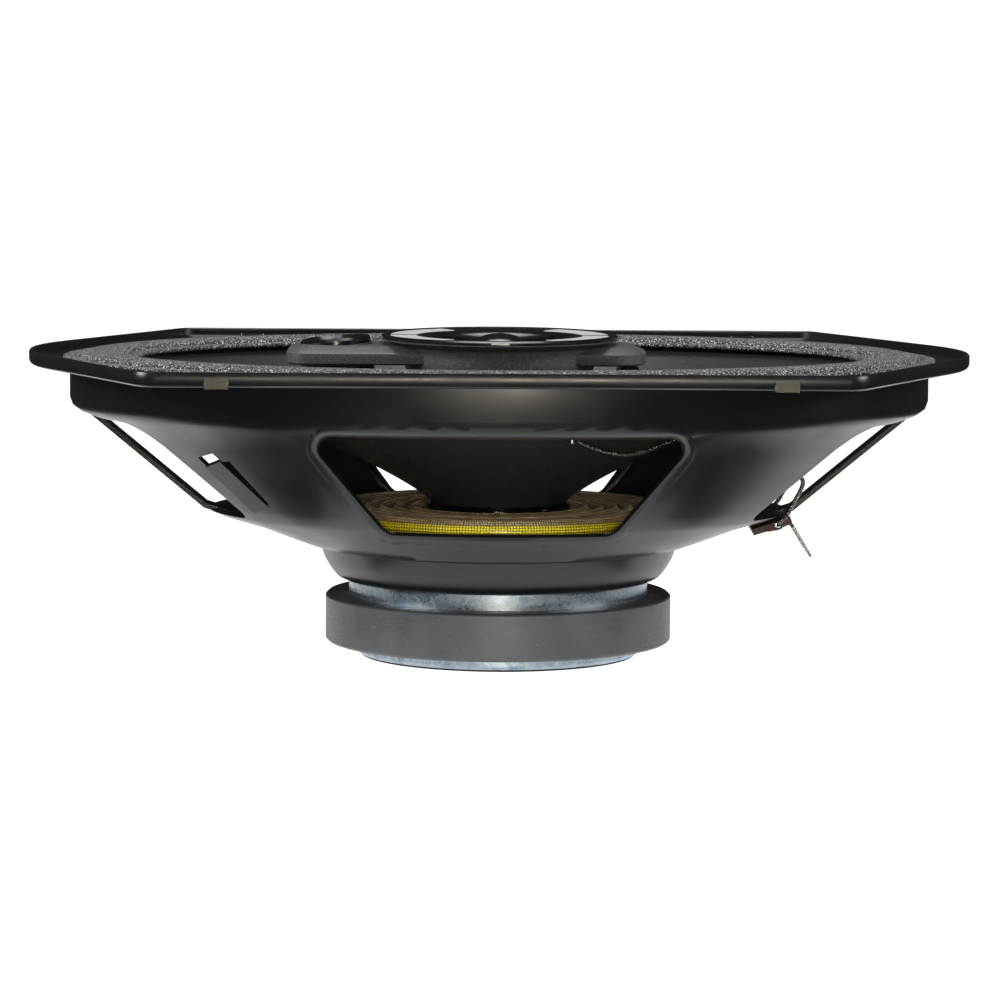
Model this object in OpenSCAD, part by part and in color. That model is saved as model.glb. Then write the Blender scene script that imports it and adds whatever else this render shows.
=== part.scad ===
// Oval three-way coaxial car speaker: pressed-steel basket, ferrite motor, sprung cone,
// and a bridge moulding on a central post that carries a midrange and a tweeter.
// Origin: centre of the four mounting holes, on the flange face that meets the panel.
// +Z points to the listener, +X along the long axis towards the terminals. Millimetres.

/* [Flange] */
// Overall length of the flange
flange_l = 234.8; // [230:0.2:240]
// Overall width of the flange
flange_w = 162.6; // [160:0.2:166]
// Height of the turned-up lip above the mounting face
lip_h = 3.6; // [2.4:0.1:5]
// Sheet thickness of the pressed basket
sheet_t = 1.1; // [0.8:0.1:1.4]
// Mounting hole spacing along the long axis
hole_dx = 184; // [178:0.5:188]
// Mounting hole spacing along the short axis
hole_dy = 97; // [92:0.5:100]
// Mounting hole diameter
hole_d = 5.2; // [4:0.1:6]

/* [Basket] */
// Half length of the oval cup below the flange
cup_a = 107.3; // [106:0.1:108]
// Half width of the oval cup below the flange
cup_b = 75.5; // [74:0.1:76]
// Half length of a side window at its upper edge
window_top = 42.9; // [38:0.1:44]
// Half length of a side window at its lower edge
window_foot = 29; // [24:0.1:30]
// Width of an end strut
strut_w = 8; // [7:0.5:14]

/* [Motor] */
// Radius of the ferrite ring
magnet_r = 43.4; // [40:0.1:45]
// Thickness of the ferrite ring
magnet_t = 11.8; // [10:0.1:14]
// Thickness of the front plate
front_plate_t = 4; // [3:0.1:5]
// Thickness of the rear plate
rear_plate_t = 3.6; // [3:0.1:5]
// Radius of the pole that the coil runs on
pole_r = 15.2; // [14.8:0.1:15.3]

/* [Cone and suspension] */
// Half length of the cone at its rim
cone_a = 92.5; // [90:0.1:93]
// Half width of the cone at its rim
cone_b = 60.5; // [59:0.1:61]
// Height of the surround's half roll
roll_h = 2.4; // [2:0.1:4]
// Number of spider corrugations
spider_waves = 6; // [4:1:7]

/* [Bridge] */
// Radius of the round midrange housing at its rim
housing_r = 29.6; // [28:0.1:30]
// Left end of the bridge moulding
bridge_left = -53; // [-55:0.5:-52]
// Right end of the bridge moulding
bridge_right = 36.5; // [35:0.5:38]
// Half width of the bridge moulding
bridge_half_w = 15; // [14:0.5:16]
// Distance from the middle to the tweeter's centre
tweeter_x = -41; // [-42:0.5:-40]
// Outward tilt of the tweeter, degrees
tweeter_tilt = 5; // [0:1:6]

/* [Hidden] */

$fn = 96;
oval_n = 96;                 // points round each oval section
arc_n = 8;                   // points round each corner of an outline
gap = 0.05;                  // clearance between two pieces that are pressed or glued together

// Levels of the motor, working down from the floor of the basket
floor_z = -53.4;
front_z = floor_z - front_plate_t;
rear_z = front_z - magnet_t;
base_z = rear_z - rear_plate_t;
pole_top_z = floor_z + 0.6;
stud_r = 2;                  // studs that stake the front plate to the basket

// Flange outline: two large end arcs and four small corners, joined by tangents
corner_r = 6;
end_r = 60.9;
flange_centres = [[flange_l / 2 - end_r, 0], [80.4, flange_w / 2 - corner_r],
    [-80.4, flange_w / 2 - corner_r], [end_r - flange_l / 2, 0],
    [-80.4, corner_r - flange_w / 2], [80.4, corner_r - flange_w / 2]];
flange_radii = [end_r, corner_r, corner_r, end_r, corner_r, corner_r];

// Bowl sections from the flange down: half length, half width, level
bowl = [[cup_a, cup_b, 1], [cup_a, cup_b, -8.2], [cup_a - 0.6, cup_b - 0.4, -9.9],
    [cup_a - 2.5, cup_b - 1.4, -11.3], [cup_a - 5.5, cup_b - 2.9, -12.4], [94.3, 68, -17.9],
    [84.6, 62, -26.2], [76.4, 57, -33.2], [72.6, 54.8, -36.2], [69.6, 53.2, -37.4],
    [61, 50.9, -39.8], [53.5, 49.4, -42.5], [48.5, 48.5, -44.2], [43.9, 43.9, -45.3]];

// Window outline in the X-Z plane: corner centres and radii
window_centres = [[window_top - 3, -15.8], [3 - window_top, -15.8], [4 - window_foot, -33.2],
    [window_foot - 4, -33.2]];
window_radii = [3, 3, 4, 4];

// Turned-in window edge: outset from the opening, depth inwards
window_edge = [[3.6, 0.45], [3.1, 0.02], [2.3, -0.3], [1.4, -0.28], [0.6, 0.4], [0.15, 1.5], [0, 2.9],
    [0.9, 3.2], [1.5, 2.2], [2.2, 1.45], [3.6, 0.95]];

// Cone: neck and rise, which follows a power of the distance out from the neck
neck_r = 16.3;
neck_z = -35.2;
cone_rise = 34.8;
cone_power = 0.78;
cone_t = 0.7;

// Tinsel lead route for +Y, from the terminal board round to the eyelet on the cone
lead_r = 0.6;
lead_route = [[69.2, 16.3, -38], [71.3, 16, -35.9], [73, 15.5, -32.8], [74.9, 14.8, -29.4],
    [75.1, 15.2, -27.2], [73, 16.6, -25.5], [69, 19.4, -24], [61, 26, -21.5], [52, 33.5, -18.5],
    [45, 38, -15.2], [40.5, 38.6, -16], [35.5, 38.9, -17.9], [30.5, 38.7, -18.9], [25.5, 38.3, -18.3],
    [21.4, 37.9, -17], [18.9, 37.5, -15.8]];
lead_steps = 3;              // tube rings between two points of the route
eyelet_at = [18, 37.5, -14.95];

// Voice coils
former_in = pole_r + 0.4;
former_out = former_in + 0.4;
coil_out = former_out + 0.8;

// ---------- shared functions and shapes ----------

// Direction of the outward normal of the line that touches two circles
function tangent_angle(c1, r1, c2, r2) =
    atan2(c2[1] - c1[1], c2[0] - c1[0]) - acos((r1 - r2) / norm(c2 - c1));

// Smallest anticlockwise sweep from one angle to another
function sweep(a0, a1) = a1 - a0 - 360 * floor((a1 - a0) / 360);

// Outline round a ring of circles, each grown by d, with side_n points along each side
function rounded(c, r, d = 0, side_n = 1) = let(n = len(c)) [for (i = [0:n - 1])
    let(p = (i + n - 1) % n, q = (i + 1) % n,
        a0 = tangent_angle(c[p], r[p], c[i], r[i]), a1 = tangent_angle(c[i], r[i], c[q], r[q]),
        turn = sweep(a0, a1), here = r[i] + d, there = r[q] + d, u = [cos(a1), sin(a1)])
    each concat([for (k = [0:arc_n]) let(a = a0 + turn * k / arc_n)
            c[i] + here * [cos(a), sin(a)]],
        side_n < 2 ? [] : [for (k = [1:side_n - 1]) let(s = k / side_n)
            (1 - s) * (c[i] + here * u) + s * (c[q] + there * u)])];

function oval(a, b) = [for (i = [0:oval_n - 1]) let(t = 360 * i / oval_n) [a * cos(t), b * sin(t)]];

function raised(outline, z) = [for (p = outline) [p[0], p[1], z]];

// Index faces between ring k and the next, for n points a ring
function band(k, q, n) = [for (i = [0:n - 1]) let(j = (i + 1) % n)
    each [[k * n + i, q * n + j, k * n + j], [k * n + i, q * n + i, q * n + j]]];

// Solid skinned over a list of rings, with flat ends; rings run upwards, anticlockwise
module skinned(rings) {
    n = len(rings[0]);
    m = len(rings);
    polyhedron(points = [for (r = rings) each r],
        faces = concat([for (k = [0:m - 2]) each band(k, k + 1, n)],
            [[for (i = [0:n - 1]) i], [for (i = [n - 1:-1:0]) (m - 1) * n + i]]), convexity = 6);
}

// Ring-shaped solid: the rings go once round its section, down the outside and up the inside
module hooped(rings) {
    n = len(rings[0]);
    m = len(rings);
    polyhedron(points = [for (r = rings) each r],
        faces = [for (k = [0:m - 1]) each band((k + 1) % m, k, n)], convexity = 8);
}

// Oval section list shifted square to its mean profile by t, inwards and up
function thinned(s, t) = [for (k = [0:len(s) - 1])
    let(p = s[max(k - 1, 0)], q = s[min(k + 1, len(s) - 1)],
        dr = (q[0] + q[1] - p[0] - p[1]) / 2, dz = q[2] - p[2], l = norm([dr, dz]))
    [s[k][0] + t * dz / l, s[k][1] + t * dz / l, s[k][2] - t * dr / l]];

function ovals(s) = [for (p = s) raised(oval(p[0], p[1]), p[2])];

function flipped(s) = [for (k = [len(s) - 1:-1:0]) s[k]];

// Half width of the bowl's near wall, at a place along it and a level
function bowl_y(x, z) = let(a = lookup(z, [for (p = bowl) if (p[2] < 0) [p[2], p[0]]]),
    b = lookup(z, [for (p = bowl) if (p[2] < 0) [p[2], p[1]]])) b * sqrt(1 - pow(x / a, 2));

module ring(r_out, r_in, z0, h) {
    translate([0, 0, z0]) difference() {
        cylinder(r = r_out, h = h);
        translate([0, 0, -1]) cylinder(r = r_in, h = h + 2);
    }
}

module both_ends() {
    children();
    mirror([1, 0, 0]) children();
}

module both_sides() {
    children();
    mirror([0, 1, 0]) children();
}

module stud_places() {
    for (a = [45:90:315]) rotate(a) translate([30, 0, 0]) children();
}

// ---------- basket ----------

module flange_plate() {
    difference() {
        linear_extrude(1) difference() {
            polygon(rounded(flange_centres, flange_radii, -1.6));
            polygon(oval(cup_a - 0.5, cup_b - 0.5));
        }
        for (x = [-hole_dx / 2, hole_dx / 2], y = [-hole_dy / 2, hole_dy / 2])
            translate([x, y, -1]) cylinder(d = hole_d, h = 3);
    }
}

module flange_lip() {
    profile = [[0.2, lip_h], [0, lip_h - 0.3], [0, 1.2], [0.25, 0.5], [0.8, 0.1], [1.2, 0], [2.4, 0],
        [2.4, 1], [1.5, 1.2], [1.1, 1.7], [1, lip_h - 0.2], [0.8, lip_h]];
    difference() {
        hooped([for (p = profile) raised(rounded(flange_centres, flange_radii, -p[0]), p[1])]);
        both_ends() both_sides() clip_slot();
    }
}

module bowl_shell() {
    hooped(ovals(concat(bowl, flipped(thinned(bowl, sheet_t)))));
}

module pot() {
    difference() {
        rotate_extrude() polygon([[44.85, -44.9], [43.7, -48.2], [42.8, -49.8], [41.9, -51.2],
            [40.7, -52.6], [39, floor_z], [19.5, floor_z], [19.5, floor_z + 1.2],
            [38.6, floor_z + 1.2], [39.9, -51.5], [40.8, -50.5], [42.5, -47.7], [43.6, -44.9]]);
        stud_places() translate([0, 0, floor_z - 1]) cylinder(r = stud_r, h = 4);
    }
}

module window_cut() {
    translate([0, -48, 0]) rotate([90, 0, 0]) linear_extrude(50)
        polygon(rounded(window_centres, window_radii, 2.75));
}

module window_rim() {
    hooped([for (e = flipped(window_edge)) [for (p = rounded(window_centres, window_radii, e[0], 10))
        [p[0], e[1] - bowl_y(p[0], p[1]), p[1]]]]);
}

module end_gap_cut() {
    translate([55, 0, 0]) rotate([90, 0, 90]) linear_extrude(60)
        polygon(rounded([[31.5, -15.4], [-31.5, -15.4], [-27.5, -32.6], [27.5, -32.6]],
            [3, 3, 3.5, 3.5]));
}

// End strut: a strip from the cup down to the bowl floor
module strut() {
    outer = [[105.6, -9.8], [102.6, -12.3], [73.8, -36.1], [58, -41]];
    web = concat(outer, [for (p = flipped(outer)) p + [-0.45, 1.15]]);
    rotate([90, 0, 0]) translate([0, 0, -strut_w / 2]) linear_extrude(strut_w) polygon(web);
}

// Frame on the bowl wall with its Y axis up the wall from foot to head and Z outwards
module on_wall(head, foot) {
    h = [head[0], -bowl_y(head[0], head[1]), head[1]];
    f = [foot[0], -bowl_y(foot[0], foot[1]), foot[1]];
    up = (h - f) / norm(h - f);
    side = [h[0] + 2, -bowl_y(h[0] + 2, h[2]), h[2]] - h;
    across = (side - (side * up) * up) / norm(side - (side * up) * up);
    out = cross(across, up);
    multmatrix([for (i = [0:2]) [across[i], up[i], out[i], f[i]]]) children();
}

lance_head = [-69.6, -18.6];
lance_foot = [-57.6, -31.2];

module lance_cut() {
    on_wall(lance_head, lance_foot) translate([0, 0, -6]) linear_extrude(12)
        polygon([[-6, 1], [2.2, -1], [3.4, 14.4], [0.9, 14.8], [0.5, 18], [-6, 18]]);
}

// Tab left in the lanced opening, with its free side turned in
module lance_tab() {
    on_wall(lance_head, lance_foot) translate([0, 15.1, 0]) rotate([90, 0, 2.5])
        linear_extrude(17) polygon([[-6.45, -1.15], [-6.4, 0.05], [0.4, 0.1], [0.45, -2.7],
            [4.3, -2.75], [4.35, -3.6], [-0.45, -3.65], [-0.5, -1.2]]);
}

module clip_slot() {
    translate([63, -flange_w / 2 - 1, 0.5]) cube([6, 3, 1.6]);
}

module basket() {
    color("#17171a") {
        difference() {
            union() {
                flange_plate();
                bowl_shell();
            }
            both_sides() window_cut();
            both_ends() end_gap_cut();
            lance_cut();
        }
        flange_lip();
        pot();
        both_sides() window_rim();
        both_ends() strut();
        lance_tab();
    }
}

// Folded sheet clips in the lip that hold a grille
module grille_clip() {
    translate([63.15, -flange_w / 2 - 0.45, 0]) {
        translate([0, 0, -0.3]) cube([5.7, 0.4, 2.4]);
        translate([0, 0, 1.3]) cube([5.7, 2.6, 0.7]);
    }
}

module grille_clips() {
    color("#a9a9a2") both_ends() both_sides() grille_clip();
}

// ---------- motor ----------

module front_plate() {
    color("#b9bdc2") difference() {
        ring(37.5, coil_out + 0.7, front_z, front_plate_t);
        stud_places() translate([0, 0, front_z - 1]) cylinder(r = stud_r, h = 8);
    }
}

// Studs that stake the front plate to the floor of the basket
module plate_studs() {
    color("#9a9da1") stud_places() {
        translate([0, 0, front_z + 0.5]) cylinder(r = stud_r - gap, h = front_plate_t + 0.7);
        translate([0, 0, floor_z + 1.2]) cylinder(r = 3.2, h = 0.9);
    }
}

module magnet_ring() {
    color("#4a4d50") rotate_extrude() polygon([[20.5, rear_z], [magnet_r - 0.6, rear_z],
        [magnet_r, rear_z + 0.6], [magnet_r, front_z - 0.6], [magnet_r - 0.6, front_z],
        [20.5, front_z]]);
}

module pole_yoke() {
    color("#b3b7bc") rotate_extrude() polygon([[4.1, base_z + 2.6], [6.2, base_z + 2.6],
        [6.2, base_z], [34.4, base_z], [36, base_z + 1.4], [36, rear_z], [pole_r, rear_z],
        [pole_r, pole_top_z - 0.6], [pole_r - 0.6, pole_top_z], [4.1, pole_top_z]]);
}

// Central post that carries the bridge, stepped to seat on the pole
module post() {
    color("#303236") difference() {
        union() {
            translate([0, 0, pole_top_z - 9]) cylinder(r = 4, h = 10);
            translate([0, 0, pole_top_z]) cylinder(r = 5, h = -14.9 - pole_top_z);
        }
        translate([0, 0, pole_top_z - 10]) cylinder(r = 1.6, h = 8);
    }
}

module post_screw() {
    color("#c0c2c4") {
        translate([0, 0, base_z + 0.8]) difference() {
            cylinder(r = 4.8, h = 1.8);
            translate([-3, -0.5, -1]) cube([6, 1, 1.8]);
            translate([-0.5, -3, -1]) cube([1, 6, 1.8]);
        }
        translate([0, 0, base_z + 2.6]) cylinder(r = 1.55, h = pole_top_z - 3 - base_z - 2.6);
    }
}

// ---------- terminal and leads ----------

// Frame on the underside of the right strut's flat, sloping with it
module under_strut() {
    translate([68, 0, -39.5]) rotate([0, -17, 0]) children();
}

module terminal_board() {
    color("#2c211a") under_strut() difference() {
        translate([-5, -15, -0.2]) cube([10, 30, 1.6]);
        translate([0, 0, -1]) cylinder(r = 1.7, h = 4);
    }
}

module terminal_rivet() {
    color("#b4b6b8") under_strut() {
        translate([0, 0, -0.2]) cylinder(r = 1.65, h = 1.6, $fn = 32);
        translate([0, 0, -1.1]) cylinder(r = 3, h = 0.9, $fn = 32);
    }
}

// Feet of the spade tabs with the solder that holds the leads
module solder_lugs() {
    color("#c4c6c8") under_strut() both_sides() translate([1, 10, -1.3]) cylinder(r = 2.4, h = 1.05);
}

module spade(width, y) {
    translate([73.2, y, -39.2]) rotate([0, 59, 0]) difference() {
        translate([0, -width / 2, -0.4]) cube([8.7, width, 0.8]);
        translate([5.8, 0, -1]) cylinder(r = 0.7, h = 2, $fn = 32);
    }
}

module tab_positive() {
    color("#c8cacc") spade(4.8, -10);
}

module tab_negative() {
    color("#c8cacc") spade(2.8, 10);
}

// Smooth route through the points, by Catmull-Rom spans
function catmull(p, s) = ((2 * p[1]) + s * (p[2] - p[0])
    + pow(s, 2) * (2 * p[0] - 5 * p[1] + 4 * p[2] - p[3])
    + pow(s, 3) * (3 * p[1] - p[0] - 3 * p[2] + p[3])) / 2;

function smooth_route(r, steps) = let(n = len(r)) concat([for (i = [0:n - 2], k = [0:steps - 1])
    catmull([r[max(i - 1, 0)], r[i], r[i + 1], r[min(i + 2, n - 1)]], k / steps)], [r[n - 1]]);

// Tube of eight sides along a route
module tube(route, r) {
    n = len(route);
    rings = [for (i = [0:n - 1]) let(d = route[min(i + 1, n - 1)] - route[max(i - 1, 0)],
        u = cross([0, 0, 1], d) / norm(cross([0, 0, 1], d)), v = cross(d, u) / norm(d))
        [for (k = [0:7]) route[i] + r * (cos(45 * k) * u + sin(45 * k) * v)]];
    skinned(rings);
}

module lead() {
    tube(smooth_route(lead_route, lead_steps), lead_r);
}

module lead_positive() {
    color("#a8a49a") mirror([0, 1, 0]) lead();
}

module lead_negative() {
    color("#a8a49a") lead();
}

// ---------- woofer moving parts ----------

// Back of the cone: half length, half width and level, a share s of the way out
function cone_section(s) = [neck_r + (cone_a - neck_r) * s, neck_r + (cone_b - neck_r) * s,
    neck_z + cone_rise * pow(s, cone_power)];

cone_shares = [0, 0.02, 0.06, 0.13, 0.24, 0.38, 0.55, 0.75, 1];
cone_back = [for (s = cone_shares) cone_section(s)];

module cone() {
    front = [for (p = cone_back) p + [0, 0, cone_t + 0.5 * (p[0] < 20 ? 1 : 0)]];
    color("#101012") hooped(ovals(concat(flipped(cone_back), front)));
}

module coil_former() {
    color("#8c6f4a") ring(former_out, former_in, floor_z - 5.5, neck_z + 0.9 - floor_z + 5.5);
}

module voice_coil() {
    color("#b26a35") ring(coil_out, former_out + 0.01, floor_z - 6, 8);
}

// Eyelets that carry the leads through the cone's back
module lead_eyelets() {
    color("#b9bbbd") both_sides() translate(eyelet_at - [0.6, 0, 1.4])
        cylinder(r = 0.9, h = 1.4, $fn = 24);
}

// Cupped spider: corrugated disc, outer wall and landing foot
spider_z = -36.1;
spider_wave_r = [21, 43];

module spider() {
    steps = spider_waves * 10;
    wave = [for (i = [0:steps]) let(s = i / steps)
        [spider_wave_r[0] + (spider_wave_r[1] - spider_wave_r[0]) * s,
            spider_z + 0.9 * sin(360 * spider_waves * s)]];
    top = concat([[former_out + gap, spider_z - 1.6], [17.2, spider_z - 1.2], [18.6, spider_z]], wave,
        [[44.4, spider_z + 0.4], [45.2, spider_z - 0.4], [45.5, -42.6], [47.3, -42.9]]);
    foot = [for (p = flipped(top)) p - [p[0] > 44.8 && p[1] > -42.5 ? 0.5 : 0, 0.45]];
    color("#8a7a3c") rotate_extrude() polygon(concat(top, foot));
}

// Half-roll surround from the cone's rim to the flange
module surround() {
    roll_n = 8;
    foot_z = 1.25;
    in_a = cone_a + 1.4;
    in_b = cone_b + 1.4;
    out_a = cup_a - 2.2;
    out_b = cup_b - 1.8;
    skin = 0.8;
    rolled = [for (k = [0:roll_n]) let(t = 180 * k / roll_n, u = (1 - cos(t)) / 2)
        [in_a + (out_a - in_a) * u, in_b + (out_b - in_b) * u, foot_z + (roll_h - 1) * sin(t)]];
    over = concat([[cone_a - 2.6, cone_b - 2.6, foot_z - 0.1]], rolled,
        [[cup_a + 1.6, cup_b + 1.6, foot_z]]);
    under = [for (k = [0:len(over) - 1]) let(t = k == 0 || k == len(over) - 1 ? 90 : 180 * (k - 1) / roll_n)
        over[k] - skin * [-cos(t) * 0.6, -cos(t) * 0.6, 0.45 + 0.55 * sin(t)]];
    color("#26262a") translate([0, 0, 0.75]) hooped(ovals(concat(over, flipped(under))));
}

// ---------- bridge and midrange ----------

bridge_centres = [[bridge_right - 9.5, -5.5], [bridge_right - 9.5, 5.5],
    [bridge_left + 6, bridge_half_w - 6], [bridge_left + 6, 6 - bridge_half_w]];
bridge_radii = [9.5, 9.5, 6, 6];

module bridge_bar() {
    profile = [[-0.5, 0.6], [0, 1], [0, 3.4], [-0.4, 3.7], [-3.8, 5], [-4.2, 5.1]];
    skinned([for (p = profile) raised(rounded(bridge_centres, bridge_radii, p[0]), p[1])]);
}

module place_tweeter() {
    translate([tweeter_x, 0, 4.6]) rotate([0, -tweeter_tilt, 0]) children();
}

module bridge_housing() {
    color("#1d1d20") difference() {
        union() {
            bridge_bar();
            rotate_extrude() polygon([[0, 6.55], [29.4, 6.55], [29.35, 6.25], [27.5, 5.6],
                [25.6, 5.15], [24.6, 4.6], [24.1, 3.4], [24, 0.6], [23.2, -2.5], [20.5, -7.5],
                [14.5, -12.6], [12, -14.9], [8, -14.9], [7.4, -19], [0, -19]]);
            place_tweeter() translate([0, 0, -12]) cylinder(r = 9.2, h = 12.2);
        }
        rotate_extrude() polygon([[0, 8], [27.95, 8], [27.95, 6.2], [25, 6.2], [22.1, 5.1],
            [22.1, 2.2], [20.2, 2.2], [19, -3], [14, -8], [9.6, -9], [9.6, -13.3], [0, -13.3]]);
        translate([0, 0, -20]) cylinder(r = 5 + gap, h = 5.1);
        place_tweeter() {
            translate([0, 0, -10.6]) cylinder(r = 7.3, h = 12);
            translate([0, 0, 0.2]) cylinder(r = 8.85, h = 4);
        }
    }
}

module mid_rim_ring() {
    color("#101012") difference() {
        rotate_extrude() polygon([[28, 6.6], [housing_r - 0.1, 6.6], [housing_r, 6.7],
            [housing_r, 7.2], [housing_r - 0.4, 7.6], [28.5, 7.6], [28, 7.3]]);
        translate([-2.2, -housing_r - 1, 6.75]) cube([4.4, 1.4, 0.4]);
    }
}

// Satin ring with four spokes and a centre dome in front of the midrange cone
module mid_bezel() {
    color("#6f7276") {
        rotate_extrude() polygon([[27.9, 6.27], [27.9, 7], [27, 7.1], [18.4, 5.6], [17.8, 5.1],
            [18.2, 4.3], [22.05, 5.17], [25, 6.27]]);
        for (a = [45:90:315]) rotate(a) translate([5.5, -1.6, 4.35]) cube([13.4, 3.2, 1.1]);
        rotate_extrude() polygon([[0, 4.2], [6.5, 4.2], [6.5, 5.4], [5.9, 6.3], [4.8, 7],
            [3.2, 7.5], [1.6, 7.75], [0, 7.8]]);
    }
}

module mid_yoke() {
    color("#b0b3b7") difference() {
        translate([0, 0, -13.2]) cylinder(r = 9.5, h = 6.8);
        translate([0, 0, -11.7]) cylinder(r = 7.3, h = 6);
    }
}

module mid_magnet() {
    color("#54575b") translate([0, 0, -11.65]) cylinder(r = 5.5, h = 3.4);
}

module mid_pole_plate() {
    color("#b0b3b7") translate([0, 0, -8.2]) cylinder(r = 5.7, h = 1.7);
}

module mid_cone() {
    color("#0c0c0e") rotate_extrude() polygon([[6.35, -3.2], [8, -2.2], [11, -0.9], [14.5, 0.4],
        [17.6, 1.3], [17.6, 1.7], [14.3, 0.85], [10.8, -0.4], [7.8, -1.7], [6.35, -2.5]]);
}

module mid_dust_cap() {
    color("#0c0c0e") rotate_extrude() polygon([[0, 0.5], [2, 0.35], [4, -0.2], [5.4, -0.9],
        [6.2, -1.7], [6.2, -2.2], [5.9, -2.2], [5.2, -1.3], [3.9, -0.6], [2, -0.05], [0, 0.1]]);
}

module mid_former() {
    color("#8c6f4a") ring(6.3, 6.05, -9.2, 6.9);
}

module mid_coil() {
    color("#b26a35") ring(6.8, 6.31, -8.9, 2.6);
}

module mid_surround() {
    color("#1b1b1e") rotate_extrude() polygon([[17.7, 1.25], [18.1, 2.1], [19, 2.7], [19.9, 2.85],
        [20.8, 2.6], [22, 2.6], [22, 2.25], [20.6, 2.25], [19.8, 2.45], [19.1, 2.3], [18.5, 1.8],
        [18.1, 1.25]]);
}

// ---------- tweeter ----------

module tweeter_ring() {
    color("#151517") place_tweeter() rotate_extrude() polygon([[6.6, 0.25], [8.8, 0.25], [8.8, 1.4],
        [8.3, 2], [7.4, 2], [6.6, 1.1]]);
}

module tweeter_yoke() {
    color("#b0b3b7") place_tweeter() difference() {
        translate([0, 0, -10.5]) cylinder(r = 7.2, h = 9.7);
        translate([0, 0, -9.2]) cylinder(r = 5.6, h = 9);
    }
}

module tweeter_magnet() {
    color("#54575b") place_tweeter() translate([0, 0, -9.15]) cylinder(r = 4.1, h = 6.3);
}

module tweeter_pole_plate() {
    color("#b0b3b7") place_tweeter() translate([0, 0, -2.8]) cylinder(r = 4.3, h = 1.5);
}

module tweeter_dome() {
    color("#202024") place_tweeter() rotate_extrude() polygon([[0, 1.7], [1.8, 1.5], [3.4, 0.9],
        [4.6, -0.1], [5, -0.25], [5.6, 0.05], [6.2, -0.25], [6.2, -0.5], [5.6, -0.25], [4.95, -0.55],
        [4.4, -0.4], [3.3, 0.55], [1.75, 1.15], [0, 1.35]]);
}

module tweeter_coil() {
    color("#b26a35") place_tweeter() ring(5.05, 4.6, -3, 2.35);
}

module crossover_capacitor() {
    color("#20242c") translate([32.4, -7, -2.6]) rotate([-90, 0, 0]) {
        cylinder(r = 3.1, h = 14);
        for (x = [-1, 1]) translate([x, 0, 13.9]) cylinder(r = 0.3, h = 2, $fn = 16);
    }
}

basket();
grille_clips();
front_plate();
plate_studs();
magnet_ring();
pole_yoke();
post();
post_screw();
terminal_board();
terminal_rivet();
solder_lugs();
tab_positive();
tab_negative();
lead_positive();
lead_negative();
cone();
coil_former();
voice_coil();
lead_eyelets();
spider();
surround();
bridge_housing();
mid_rim_ring();
mid_bezel();
mid_yoke();
mid_magnet();
mid_pole_plate();
mid_cone();
mid_dust_cap();
mid_former();
mid_coil();
mid_surround();
tweeter_ring();
tweeter_yoke();
tweeter_magnet();
tweeter_pole_plate();
tweeter_dome();
tweeter_coil();
crossover_capacitor();
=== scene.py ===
"""Looks of an oval three-way coaxial car speaker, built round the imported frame.

Everything is in metres in the row frame: +Z to the listener, +X to the terminals.
"""
import logging
import math
from dataclasses import dataclass, field
from enum import Enum
from functools import partial

import bmesh
import bpy
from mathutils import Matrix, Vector
from mathutils.kdtree import KDTree
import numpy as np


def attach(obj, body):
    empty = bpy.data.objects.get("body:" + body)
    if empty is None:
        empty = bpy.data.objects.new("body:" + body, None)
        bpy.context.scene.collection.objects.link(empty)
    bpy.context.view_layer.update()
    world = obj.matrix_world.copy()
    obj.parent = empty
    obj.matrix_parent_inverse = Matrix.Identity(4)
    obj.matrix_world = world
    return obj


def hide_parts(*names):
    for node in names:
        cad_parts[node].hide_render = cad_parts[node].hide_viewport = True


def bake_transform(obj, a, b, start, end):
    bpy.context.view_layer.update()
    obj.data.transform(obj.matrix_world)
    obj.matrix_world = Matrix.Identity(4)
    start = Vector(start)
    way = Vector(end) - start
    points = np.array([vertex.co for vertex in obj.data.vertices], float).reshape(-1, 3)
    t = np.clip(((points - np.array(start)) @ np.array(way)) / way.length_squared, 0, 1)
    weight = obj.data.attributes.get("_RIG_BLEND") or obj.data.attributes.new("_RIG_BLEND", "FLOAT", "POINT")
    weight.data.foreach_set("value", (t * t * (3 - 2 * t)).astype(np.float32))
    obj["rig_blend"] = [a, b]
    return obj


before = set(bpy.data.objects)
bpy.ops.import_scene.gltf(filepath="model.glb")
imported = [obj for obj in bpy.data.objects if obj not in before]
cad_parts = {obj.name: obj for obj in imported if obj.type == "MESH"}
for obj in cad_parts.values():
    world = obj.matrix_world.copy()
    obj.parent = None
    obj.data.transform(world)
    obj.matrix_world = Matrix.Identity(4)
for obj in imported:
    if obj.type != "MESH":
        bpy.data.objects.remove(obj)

# Short names for the types that the functions below pass about
Tree = bpy.types.NodeTree
Socket = bpy.types.NodeSocket
Node = bpy.types.Node
Material = bpy.types.Material
Piece = bpy.types.Object
WorkMesh = bmesh.types.BMesh

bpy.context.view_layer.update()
MM = 0.001
log = logging.getLogger("speaker")


# ---------- colour and node helpers ----------

def srgb(code: str) -> tuple[float, float, float, float]:
    """Turn a hex colour into linear RGBA.

    Args:
        code: Colour such as "#8a7a3c".

    Returns:
        Linear red, green, blue and an alpha of one.
    """
    parts = [int(code[i:i + 2], 16) / 255 for i in (1, 3, 5)]
    linear = [p / 12.92 if p <= 0.04045 else ((p + 0.055) / 1.055) ** 2.4 for p in parts]
    return (*linear, 1.0)


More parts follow.
